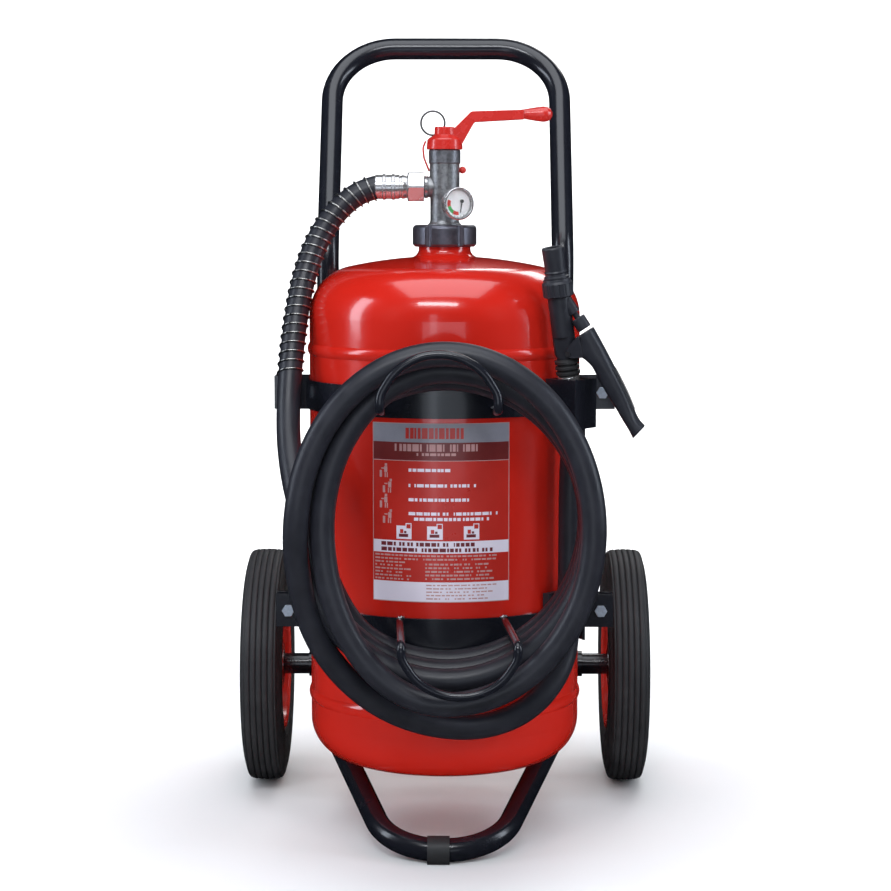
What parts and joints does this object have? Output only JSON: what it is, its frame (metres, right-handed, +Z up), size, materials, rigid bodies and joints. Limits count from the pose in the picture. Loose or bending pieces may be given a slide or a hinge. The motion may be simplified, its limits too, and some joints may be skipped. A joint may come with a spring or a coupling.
{
  "type": "wheeled fire extinguisher",
  "caption": "Two-wheeled trolley fire extinguisher: upright red tank in a tube frame with push handle, top ball valve with gauge, hose coiled on front hoops and a holstered squeeze nozzle.",
  "frame": {"origin": "middle of the footprint on the floor, hose left out", "axes": "+Z up, -Y the front with the coiled hose, +Y the side of the push handle and the wheels, +X the side of the nozzle holder; the tank leans back 2.5 degrees on its foot"},
  "size_m": [0.5184, 0.6398, 0.9582],
  "materials": {
    "red_enamel": "glossy enamel",
    "black_coat": "satin powder coat",
    "zinc_steel": "bright zinc plate",
    "black_steel": "black oxide",
    "spring_steel": "drawn wire",
    "nickel": "nickel plate",
    "grey_casting": "grey plated casting",
    "dark_nut": "dark phosphated, satin",
    "bright_steel": "machined",
    "hose_rubber": "matt smooth cover",
    "tyre_rubber": "matt",
    "black_plastic": "fine textured",
    "clip_rubber": "matt",
    "seal_red": "glossy",
    "gasket_rubber": "matt",
    "seat_plastic": "smooth",
    "siphon_plastic": "smooth",
    "powder": "powder",
    "dial_paint": "printed dial",
    "lens_glass": "clear",
    "needle_black": "black paint",
    "label_film": "printed film"
  },
  "bodies": {
    "root": {"tank_top": "red_enamel", "tank_shell": "red_enamel", "tank_bottom": "red_enamel", "handle_frame": "black_coat", "foot_loop": "black_coat", "axle_tube": "black_coat", "axle_brackets": "black_coat", "band_upper_front": "black_coat", "band_upper_rear": "black_coat", "band_lower_front": "black_coat", "band_lower_rear": "black_coat", "hoop_upper": "black_coat", "hoop_lower": "black_coat", "nozzle_holder": "black_coat", "band_fasteners": "zinc_steel", "axle_end_bolts": "black_steel", "gun_pivot_pin": "black_steel", "hose_guard": "spring_steel", "outlet_adapter": "nickel", "hose_nut": "nickel", "hose_ferrule": "nickel", "gauge_case": "nickel", "gun_ferrule": "nickel", "valve_body": "grey_casting", "valve_ring_nut": "dark_nut", "valve_bonnet": "dark_nut", "hose_riser": "hose_rubber", "hose_coil": "hose_rubber", "hose_tail": "hose_rubber", "hose_clip": "black_plastic", "gun_body": "black_plastic", "gun_tip": "black_plastic", "gun_collar": "black_plastic", "foot_clip": "clip_rubber", "gun_bellows": "clip_rubber", "tamper_seal": "seal_red", "neck_gasket": "gasket_rubber", "ball_seats": "seat_plastic", "siphon_tube": "siphon_plastic", "powder_charge": "powder", "gauge_dial": "dial_paint", "gauge_lens": "lens_glass", "label_panel": "label_film"},
    "wheel_left": {"tyre_left": "tyre_rubber", "rim_discs_left": "red_enamel", "hub_bush_left": "bright_steel", "rim_bolts_left": "zinc_steel"},
    "wheel_right": {"tyre_right": "tyre_rubber", "rim_discs_right": "red_enamel", "hub_bush_right": "bright_steel", "rim_bolts_right": "zinc_steel"},
    "lever": {"valve_lever": "red_enamel", "lever_screw": "zinc_steel", "valve_stem": "bright_steel", "valve_ball": "bright_steel"},
    "pin": {"safety_pin": "nickel"},
    "ring": {"pull_ring": "nickel"},
    "needle": {"gauge_needle": "needle_black"},
    "gun_grip": {"gun_lever": "black_plastic"},
    "gun_valve": {"gun_plunger": "black_plastic"}
  },
  "joints": [
    {"name": "wheel_left_spin", "type": "hinge", "parent": "root", "child": "wheel_left", "pos_m": [0, 0.16994, 0.15], "axis": [1, 0, 0], "continuous": true},
    {"name": "wheel_right_spin", "type": "hinge", "parent": "root", "child": "wheel_right", "pos_m": [0, 0.16994, 0.15], "axis": [1, 0, 0], "continuous": true},
    {"name": "valve_lever_turn", "type": "hinge", "parent": "root", "child": "lever", "pos_m": [0, -0.00491, 0.77622], "axis": [0, 0.0436, 0.999], "range_deg": [0, 90]},
    {"name": "safety_pin_pull", "type": "slide", "parent": "lever", "child": "pin", "axis": [0, 0.0436, 0.999], "range_m": [0, 0.025]},
    {"name": "pull_ring_swing", "type": "hinge", "parent": "pin", "child": "ring", "pos_m": [-0.00634, 0.01146, 0.83957], "axis": [0.8328, 0.0241, 0.553], "range_deg": [-75, 0]},
    {"name": "gauge_needle_turn", "type": "hinge", "parent": "root", "child": "needle", "pos_m": [0.02035, -0.03696, 0.76061], "axis": [0.4226, -0.9054, 0.0395], "range_deg": [-90, 0]},
    {"name": "gun_lever_squeeze", "type": "hinge", "parent": "root", "child": "gun_grip", "pos_m": [0.14571, -0.13743, 0.59301], "axis": [0.3158, 0.9429, 0.1063], "range_deg": [0, 12], "stiffness_Nm_per_rad": 0.6, "springref_deg": -8.59},
    {"name": "gun_plunger_slide", "type": "slide", "parent": "root", "child": "gun_valve", "axis": [0.5439, -0.0881, -0.8345], "range_m": [0, 0.0067]}
  ],
  "couplings": [
    {"joint": "gun_plunger_slide", "follows": "gun_lever_squeeze", "m_per_rad": 0.0318}
  ]
}
